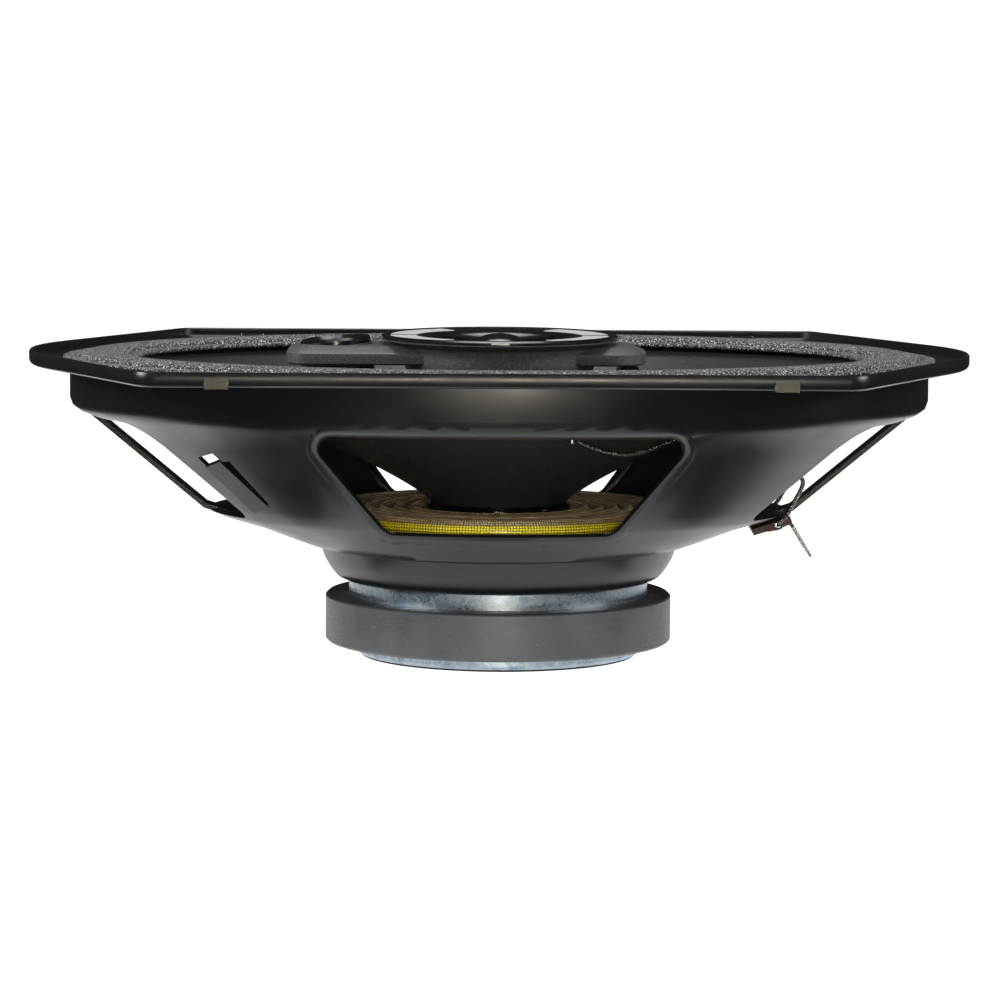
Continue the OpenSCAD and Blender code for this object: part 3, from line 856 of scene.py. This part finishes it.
@dataclass
class ConeShell:
    """Oval woofer cone with its former and coil."""

    neck: float = 16.3
    half_length: float = 92.5
    half_width: float = 60.5
    neck_z: float = -35.2
    rise: float = 34.8
    power: float = 0.78
    wall: float = 0.7
    around: int = 288
    steps: int = 54

    def section(self, share: float) -> tuple:
        """Half length, half width and level at a share of the way out."""
        return (self.neck + (self.half_length - self.neck) * share,
                self.neck + (self.half_width - self.neck) * share,
                self.neck_z + self.rise * share ** self.power)

    def build(self) -> None:
        """Loft the cone and dress the parts it carries."""
        shares = [(k / self.steps) ** 1.35 for k in range(self.steps + 1)]
        back = [self.section(s) for s in shares]
        front = [(a, b, z + self.wall + (0.5 if a < 20 else 0.0)) for a, b, z in back]
        rings = back + front[::-1]
        points = [[v * MM for v in oval_point(a, b, z, i / self.around)]
                  for a, b, z in rings for i in range(self.around)]
        cone = mesh_piece("moulded_cone", points, hoop_faces(len(rings), self.around),
                          CONE.material())
        face_outwards(cone)
        stand_for(cone, "woofer_cone", "cone_gloss", "cone")
        bead = turned_piece("neck_glue_bead", round_section(17.15, -35.45, 1.1, 1.05),
                            GLUE.material(), 288, 0.07)
        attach(bead, "woofer_cone")
        dress("coil_former", FILM.material())
        dress("voice_coil", COPPER.material())
        dress("lead_eyelets", TIN.material())


@dataclass
class SurroundRoll:
    """Foam half roll between the cone's rim and the flange."""

    inner: tuple = (89.9, 57.9)
    roll_from: tuple = (93.9, 61.9)
    roll_to: tuple = (105.1, 73.7)
    outer: tuple = (108.9, 77.1)
    foot: float = 2.0
    rise: float = 1.4
    skin: float = 0.8
    around: int = 360
    steps: int = 28

    def sections(self) -> list[tuple]:
        """Upper skin from the inner lap to the outer: half sizes, level, share and steepness."""
        made = [(*self.inner, self.foot - 0.1, 0.0, 0.5 * math.pi)]
        for k in range(self.steps + 1):
            turn = math.pi * k / self.steps
            share = (1 - math.cos(turn)) / 2
            made.append((self.roll_from[0] + (self.roll_to[0] - self.roll_from[0]) * share,
                         self.roll_from[1] + (self.roll_to[1] - self.roll_from[1]) * share,
                         self.foot + self.rise * math.sin(turn), share, turn))
        made.append((*self.outer, self.foot, 1.0, 0.5 * math.pi))
        return made

    def build(self) -> None:
        """Loft the roll and stretch it between the cone and the flange."""
        top = self.sections()
        under = [(a + self.skin * 0.6 * math.cos(t), b + self.skin * 0.6 * math.cos(t),
                  z - self.skin * (0.45 + 0.55 * math.sin(t)), s, t) for a, b, z, s, t in top]
        rings = top + under[::-1]
        points = [[v * MM for v in oval_point(a, b, z, i / self.around)]
                  for a, b, z, _, _ in rings for i in range(self.around)]
        roll = mesh_piece("foam_surround", points, hoop_faces(len(rings), self.around),
                          FOAM.material())
        face_outwards(roll)
        stand_for(roll, "", "surround_foam", "surround")
        stretch_between(roll, "frame", "woofer_cone",
                        [1 - r[3] for r in rings for _ in range(self.around)])


@dataclass
class SpiderDisc:
    """Corrugated cloth disc that centres the coil."""

    level: float = -36.1
    waves: int = 6
    wave_from: float = 21.0
    wave_to: float = 43.0
    height: float = 0.9
    cloth: float = 0.45
    around: int = 288
    steps: int = 96

    def sections(self) -> list[tuple]:
        """Top of the cloth from the former out to the landing foot: radius and level."""
        made = [(16.05, self.level - 1.6), (17.2, self.level - 1.2), (18.0, self.level - 0.7),
                (18.6, self.level - 0.2), (19.8, self.level)]
        for k in range(self.steps + 1):
            share = k / self.steps
            made.append((self.wave_from + (self.wave_to - self.wave_from) * share,
                         self.level + self.height * math.sin(2 * math.pi * self.waves * share)))
        made += [(43.6, self.level + 0.3), (44.1, self.level + 0.45), (44.5, self.level + 0.4),
                 (44.95, self.level + 0.05), (45.2, self.level - 0.4)]
        made += [(45.2 + 0.3 * k / 8, self.level - 0.4 - 6.1 * k / 8) for k in range(1, 9)]
        made += [(45.9, -42.8), (46.5, -42.88), (47.3, -42.9)]
        return made

    def build(self) -> None:
        """Turn the disc with thread coordinates, and stretch it between coil and basket."""
        top = self.sections()
        under = [(r - (0.45 if r > 44.8 and z > -42.6 else 0.0), z - self.cloth) for r, z in top]
        rings = top + under[::-1]
        points = [(r * MM * math.cos(2 * math.pi * i / self.around),
                   r * MM * math.sin(2 * math.pi * i / self.around), z * MM)
                  for r, z in rings for i in range(self.around)]
        disc = mesh_piece("cloth_spider", points, hoop_faces(len(rings), self.around),
                          CLOTH.material())
        run = [0.0]
        for (r0, z0), (r1, z1) in zip(top, top[1:]):
            run.append(run[-1] + math.hypot(r1 - r0, z1 - z0) * MM)
        along = run + run[::-1]
        # Outer-wall flags for the cloth's brighter yellow, which is partly painted light
        edge = [1.0 if r > 44.7 else 0.0 for r, _ in rings]
        self.thread_map(disc, along)
        layer = disc.data.attributes.new("wall_tone_and_light_mask", "FLOAT", "POINT")
        layer.data.foreach_set("value", [e for e in edge for _ in range(self.around)])
        face_outwards(disc)
        stand_for(disc, "", "spider_weave", "spider")
        stretch_between(disc, "frame", "woofer_cone",
                        [min(1.0, max(0.0, (44.4 - r) / 25.0)) for r, _ in rings
                         for _ in range(self.around)])

    def thread_map(self, disc: Piece, along: list[float]) -> None:
        """Lay coordinates in metres: round the edge one way, along the section the other.

        Args:
            disc: The turned disc.
            along: Distance along the section for each ring.
        """
        layer = disc.data.uv_layers.new(name="threads")
        reach = 2 * math.pi * 45.0 * MM
        around = self.around
        for face in disc.data.polygons:
            first = min(v % around for v in face.vertices)
            wraps = first == 0 and any(v % around == around - 1 for v in face.vertices)
            for corner in face.loop_indices:
                vertex = disc.data.loops[corner].vertex_index
                step = vertex % around
                if wraps and step == 0:
                    step = around
                layer.data[corner].uv = (reach * step / around, along[vertex // around])


@dataclass
class TinselLeads:
    """Braided leads from the terminal board to the cone."""

    radius: float = 0.56
    strands: int = 6
    route: list = field(default_factory=lambda: [
        (69.2, 16.3, -38), (71.3, 16, -35.9), (73, 15.5, -32.8), (74.9, 14.8, -29.4),
        (75.1, 15.2, -27.2), (73, 16.6, -25.5), (69, 19.4, -24), (61, 26, -21.5),
        (52, 33.5, -18.5), (45, 38, -15.2), (40.5, 38.6, -16), (35.5, 38.9, -17.9),
        (30.5, 38.7, -18.9), (25.5, 38.3, -18.3), (21.4, 37.9, -17), (18.9, 37.5, -15.8)])

    def smooth_route(self, side: float, steps: int = 6) -> list[Vector]:
        """Catmull-Rom points along the route, mirrored to one side.

        Args:
            side: 1 for the rear lead, -1 for the front lead.
            steps: Points for each span.

        Returns:
            Points in metres.
        """
        knots = [Vector((x, y * side, z)) * MM for x, y, z in self.route]
        made = []
        for i in range(len(knots) - 1):
            a, b, c = knots[max(i - 1, 0)], knots[i], knots[i + 1]
            d = knots[min(i + 2, len(knots) - 1)]
            for k in range(steps):
                s = k / steps
                made.append((2 * b + s * (c - a) + s ** 2 * (2 * a - 5 * b + 4 * c - d)
                             + s ** 3 * (3 * b - a - 3 * c + d)) / 2)
        return made + [knots[-1]]

    def build(self) -> None:
        """Braid both leads."""
        finish = BRAID.material()
        for side, node, slot in ((-1.0, "lead_positive", "braid"),
                                 (1.0, "lead_negative", "braid_far")):
            line = self.smooth_route(side)
            lead = self.braid(node + "_braid", line, finish)
            shares = self.shares(lead, line)
            stand_for(lead, "", slot, node)
            stretch_between(lead, "frame", "woofer_cone", shares)

    def shares(self, lead: Piece, line: list[Vector]) -> list[float]:
        """Share of the cone's motion at each vertex, by the nearest point of the route.

        Args:
            lead: The braided lead.
            line: Points of its route.

        Returns:
            One share for each vertex, easing in at the board and out at the eyelet.
        """
        tree = KDTree(len(line))
        for i, point in enumerate(line):
            tree.insert(point, i)
        tree.balance()
        last = len(line) - 1
        made = []
        for vertex in lead.data.vertices:
            t = tree.find(vertex.co)[1] / last
            made.append(t * t * (3 - 2 * t))
        return made

    def braid(self, name: str, line: list[Vector], finish: Material) -> Piece:
        """Twist strands round a route with a node tree and turn the result into a mesh.

        Args:
            name: Name of the piece.
            line: Points of the route.
            finish: Braid material.

        Returns:
            The braided lead.
        """
        curve = bpy.data.curves.new(name + "_route", "CURVE")
        curve.dimensions = "3D"
        spline = curve.splines.new("POLY")
        spline.points.add(len(line) - 1)
        for point, place in zip(spline.points, line):
            point.co = (*place, 1.0)
        holder = linked(name + "_route", curve)
        modifier = holder.modifiers.new("braid", "NODES")
        modifier.node_group = braid_tree(finish)
        set_input(modifier, "Strands", self.strands)
        set_input(modifier, "Radius", self.radius * MM)
        return bake_nodes(holder, name)


def tube(tree: Tree, curve: Socket, radius: Socket, sides: int) -> Socket:
    """Solid round tube along a curve."""
    ring = add_node(tree, "GeometryNodeCurvePrimitiveCircle",
                    {"Resolution": sides, "Radius": radius}, mode="RADIUS")
    return add_node(tree, "GeometryNodeCurveToMesh", {"Curve": curve, "Fill Caps": True,
                    "Profile Curve": ring.outputs[0]}).outputs[0]


def dress_tree(tree: Tree, shape: Socket, finish: Material, sink: Node) -> Tree:
    """Turn instances into geometry, set their finish and close the tree."""
    real = add_node(tree, "GeometryNodeRealizeInstances", {"Geometry": shape})
    dressed = add_node(tree, "GeometryNodeSetMaterial",
                       {"Geometry": real.outputs[0], "Material": finish})
    tree.links.new(dressed.outputs[0], sink.inputs[0])
    return tree


def braid_tree(finish: Material) -> Tree:
    """Strands that twist both ways round the incoming curve, with a solid core.

    Args:
        finish: Material set on the result.

    Returns:
        The node tree, with inputs Strands, Radius, Wire and Turn.
    """
    tree, source, sink = new_tree("braided_tinsel", {
        "Strands": ("NodeSocketInt", 6), "Radius": ("NodeSocketFloat", 0.62 * MM),
        "Wire": ("NodeSocketFloat", 0.2 * MM), "Turn": ("NodeSocketFloat", 3.2 * MM)})
    number = partial(math_node, tree)
    vector = partial(add_node, tree, "ShaderNodeVectorMath")
    strands, radius, wire = (source.outputs[name] for name in ("Strands", "Radius", "Wire"))
    dense = add_node(tree, "GeometryNodeResampleCurve", {"Curve": source.outputs["Geometry"],
                     "Length": 0.35 * MM}, mode="LENGTH").outputs[0]
    parts = []
    for hand in (1.0, -1.0):
        spots = add_node(tree, "GeometryNodePoints", {"Count": strands})
        index = add_node(tree, "GeometryNodeInputIndex")
        copies = add_node(tree, "GeometryNodeInstanceOnPoints",
                          {"Points": spots.outputs[0], "Instance": dense})
        tag = add_node(tree, "GeometryNodeCaptureAttribute",
                       {"Geometry": copies.outputs[0]}, domain="INSTANCE")
        tag.capture_items.new("INT", "strand")
        tree.links.new(index.outputs[0], tag.inputs["strand"])
        loose = add_node(tree, "GeometryNodeRealizeInstances", {"Geometry": tag.outputs[0]})
        length = add_node(tree, "GeometryNodeSplineParameter").outputs["Length"]
        share = number("DIVIDE", tag.outputs["strand"], strands)
        turned = number("MULTIPLY", number("DIVIDE", length, source.outputs["Turn"]), hand)
        angle = number("MULTIPLY", number("ADD", share, turned), 2 * math.pi)
        ripple = number("SINE", number("MULTIPLY", angle, 3.0))
        reach = number("ADD", number("SUBTRACT", radius, wire),
                       number("MULTIPLY", ripple, 0.08 * MM * hand))
        normal = add_node(tree, "GeometryNodeInputNormal").outputs[0]
        tangent = add_node(tree, "GeometryNodeInputTangent").outputs[0]
        cross = vector({0: tangent, 1: normal}, operation="CROSS_PRODUCT").outputs[0]
        one, two = (vector({0: way, "Scale": number("MULTIPLY", reach, number(turn, angle))},
                           operation="SCALE").outputs[0]
                    for way, turn in ((normal, "COSINE"), (cross, "SINE")))
        shift = vector({0: one, 1: two}, operation="ADD")
        placed = add_node(tree, "GeometryNodeSetPosition",
                          {"Geometry": loose.outputs[0], "Offset": shift.outputs[0]})
        parts.append(tube(tree, placed.outputs[0], wire, 5))
    parts.append(tube(tree, dense, number("MULTIPLY", radius, 0.6), 8))
    joined = add_node(tree, "GeometryNodeJoinGeometry")
    for part in parts:
        tree.links.new(part, joined.inputs[0])
    smooth = add_node(tree, "GeometryNodeSetShadeSmooth", {"Geometry": joined.outputs[0]})
    return dress_tree(tree, smooth.outputs[0], finish, sink)


def rib_tree(finish: Material) -> Tree:
    """Stack of level ribs centred on each incoming point.

    Args:
        finish: Material set on the result.

    Returns:
        The node tree, with inputs Count, Pitch, Length and Height.
    """
    tree, source, sink = new_tree("coined_ribs", {
        "Count": ("NodeSocketInt", 5), "Pitch": ("NodeSocketFloat", 0.48 * MM),
        "Length": ("NodeSocketFloat", 5.3 * MM), "Height": ("NodeSocketFloat", 0.24 * MM)})
    number = partial(math_node, tree)
    count, pitch = source.outputs["Count"], source.outputs["Pitch"]
    size = add_node(tree, "ShaderNodeCombineXYZ", {0: source.outputs["Length"], 1: 0.3 * MM,
                    2: source.outputs["Height"]})
    rib = add_node(tree, "GeometryNodeMeshCube", {"Size": size.outputs[0]})
    step = add_node(tree, "ShaderNodeCombineXYZ", {2: pitch})
    half = number("MULTIPLY", number("SUBTRACT", count, 1.0), -0.5)
    start = add_node(tree, "ShaderNodeCombineXYZ", {2: number("MULTIPLY", pitch, half)})
    line = add_node(tree, "GeometryNodeMeshLine", {"Count": count, "Offset": step.outputs[0],
                    "Start Location": start.outputs[0]})
    stack = add_node(tree, "GeometryNodeInstanceOnPoints",
                     {"Points": line.outputs[0], "Instance": rib.outputs[0]})
    places = add_node(tree, "GeometryNodeInstanceOnPoints",
                      {"Points": source.outputs["Geometry"], "Instance": stack.outputs[0]})
    return dress_tree(tree, places.outputs[0], finish, sink)


@dataclass
class TerminalBlock:
    """Board, rivet, tabs and their solder."""

    board_tilt: float = -17.0

    def build(self) -> None:
        """Dress the terminal's nodes."""
        tin = TIN.material()
        dress("terminal_board", BOARD.material())
        dress("terminal_rivet", tin)
        self.solder()
        dress("tab_positive", tin)
        dress("tab_negative", tin)

    def solder(self) -> None:
        """Round off the solder under the board and at each lead's root."""
        work = bmesh.new()
        tilt = math.radians(self.board_tilt)
        for side in (-1, 1):
            local = Vector((1, 10 * side, -0.75))
            under = Vector((68 + local.x * math.cos(tilt) + local.z * math.sin(tilt), local.y,
                            -39.5 - local.x * math.sin(tilt) + local.z * math.cos(tilt)))
            self.blob(work, under, (2.3, 2.3, 0.62), tilt)
            self.blob(work, Vector((68.9, 15.7 * side, -38.2)), (1.1, 0.8, 0.85), 0.5)
        piece = finished(work, "solder_joints", SOLDER.material())
        stand_for(piece, "frame", "solder", "solder_lugs")

    def blob(self, work: WorkMesh, centre: Vector, size: tuple, tilt: float) -> None:
        """Add one lump of solder.

        Args:
            work: Mesh that takes the lump.
            centre: Centre in millimetres.
            size: Half sizes in millimetres.
            tilt: Turn about the width, in radians.
        """
        made = bmesh.ops.create_icosphere(work, subdivisions=4, radius=1.0)["verts"]
        for vertex in made:
            x, y, z = vertex.co
            swell = 1 + 0.06 * math.sin(5 * x + 3 * y) * math.cos(4 * z)
            x, y, z = x * size[0] * swell, y * size[1] * swell, z * size[2] * swell
            vertex.co = (centre + Vector((x * math.cos(tilt) + z * math.sin(tilt), y,
                                          z * math.cos(tilt) - x * math.sin(tilt)))) * MM


@dataclass
class BridgeMoulding:
    """Bridge bar with the midrange and tweeter it carries."""

    crease: float = 30.0
    ring_crease: float = math.degrees(0.5)
    spoke_middles: tuple = (45.0, 135.0, 225.0, 315.0)
    spoke_half: float = 4.0
    # Where the pale pads of painted reflection sit, and their half spread in degrees
    reflection_pad_middles: tuple = (31.0, 149.0, 211.0, 329.0)
    reflection_pad_half: float = 26.0
    roll_around: int = 192

    def build(self) -> None:
        """Weld the bar, and dress both small drivers."""
        bar = welded_copy("bridge_housing", "bridge_moulding", HOUSING.material(), self.crease)
        stand_for(bar, "frame", "bridge_plastic", "bridge_housing")
        rim, paper, dome = GLOSS_RIM.material(), PAPER.material(), DOME.material()
        dress("mid_rim_ring", rim)
        dress("tweeter_ring", rim)
        self.grille_ring(rim)
        dress("mid_cone", paper)
        dress("mid_dust_cap", paper)
        film, copper = FILM.material(), COPPER.material()
        dress("mid_former", film)
        dress("mid_coil", copper)
        dress("tweeter_coil", copper)
        dress("tweeter_dome", dome)
        self.cloth_roll()
        dress("crossover_capacitor", SLEEVE.material())

    def grille_ring(self, gloss: Material) -> None:
        """Turn the midrange's flat ring with its spokes and dome, and inlay pale pads as a painted
        reflection of the bright surroundings.

        Args:
            gloss: Black gloss plastic.
        """
        work = bmesh.new()
        section = [(27.9, 6.3), (27.9, 7.15), (27.6, 7.25), (20.6, 7.2), (19.6, 6.9), (18.2, 5.9),
                   (17.8, 5.1), (18.2, 4.4), (22.05, 5.2), (25.0, 6.3)]
        self.sweep_arc(work, section, 0.0, 360.0, 192)
        bulge = [math.pi / 2 * k / 14 for k in range(14, 0, -1)]
        dome = [(6.5 * math.sin(a), 5.0 + 2.8 * math.cos(a)) for a in bulge]
        self.sweep_arc(work, [(0.0, 4.2), *dome, (0.0, 7.8)], 0.0, 360.0, 96)
        spoke = [(5.2, 4.5), (19.2, 5.2), (19.2, 6.4), (12.0, 6.1), (5.2, 6.0)]
        for middle in self.spoke_middles:
            self.sweep_arc(work, spoke, middle - self.spoke_half, middle + self.spoke_half, 6)
        ring = self.closed_up(work, "midrange_grille_ring", gloss)
        stand_for(ring, "frame", "bezel_satin", "mid_bezel")
        work = bmesh.new()
        # Painted reflection: pale pads where the ring shows bright crescents reflected from the sides
        pad = [(20.9, 7.1), (27.4, 7.1), (27.35, 7.34), (27.2, 7.4), (21.1, 7.34), (20.9, 7.28)]
        for middle in self.reflection_pad_middles:
            self.sweep_arc(work, pad, middle - self.reflection_pad_half, middle + self.reflection_pad_half, 40)
        pads = self.closed_up(work, "painted_reflection_ring_pads", REFLECTION_PADS.material())
        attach(pads, "frame")

    def sweep_arc(self, work: WorkMesh, section: list[tuple], start: float, stop: float,
                  steps: int) -> None:
        """Turn a closed section through an arc about the axis, with capped ends where it is open.

        Args:
            work: Mesh that takes the shape.
            section: Radius and level in millimetres, in order round the edge.
            start: First angle in degrees.
            stop: Last angle in degrees.
            steps: Steps along the arc.
        """
        full = stop - start >= 360.0
        rows = []
        for i in range(steps if full else steps + 1):
            turn = math.radians(start + (stop - start) * i / steps)
            rows.append([work.verts.new((r * MM * math.cos(turn), r * MM * math.sin(turn), z * MM))
                         for r, z in section])
        count = len(section)
        for i in range(len(rows) if full else len(rows) - 1):
            here, there = rows[i], rows[(i + 1) % len(rows)]
            for k in range(count):
                q = (k + 1) % count
                work.faces.new((here[k], here[q], there[q], there[k]))
        if not full:
            work.faces.new(rows[0])
            work.faces.new(rows[-1][::-1])

    def closed_up(self, work: WorkMesh, name: str, finish: Material) -> Piece:
        """Weld a swept shape where it meets itself on the axis, and finish it.

        Args:
            work: Shape to finish.
            name: Name of the piece.
            finish: Its material.

        Returns:
            The piece, with its faces outwards.
        """
        bmesh.ops.remove_doubles(work, verts=work.verts, dist=0.001 * MM)
        bmesh.ops.dissolve_degenerate(work, edges=work.edges, dist=0.001 * MM)
        bmesh.ops.recalc_face_normals(work, faces=work.faces)
        return finished(work, name, finish, self.ring_crease)

    def cloth_roll(self) -> None:
        """Turn the midrange's half roll and stretch it between its cone and the housing."""
        top = [(17.65, 1.25 + 0.35)]
        for k in range(13):
            turn = math.pi * (0.12 + 0.88 * k / 12)
            top.append((19.65 - 1.75 * math.cos(turn), 1.7 + 1.15 * math.sin(turn) + 0.07 * k))
        top += [(21.6, 2.6), (22.0, 2.6)]
        ring = top + [(r, z - 0.33) for r, z in reversed(top)]
        roll = turned_piece("midrange_roll", ring, FOAM.material(), self.roll_around)
        stand_for(roll, "", "mid_surround_cloth", "mid_surround")
        stretch_between(roll, "frame", "midrange_cone",
                        [min(1.0, max(0.0, (21.4 - r) / 3.6)) for r, _ in ring
                         for _ in range(self.roll_around)])


def main() -> None:
    """Build every sub-assembly in order."""
    logging.basicConfig(level=logging.INFO, format="%(name)s: %(message)s")
    for part in (Studio(), BasketPressing(), MotorStack(), ConeShell(), SurroundRoll(),
                 SpiderDisc(), TinselLeads(), TerminalBlock(), BridgeMoulding()):
        part.build()


if __name__ == "__main__":
    main()
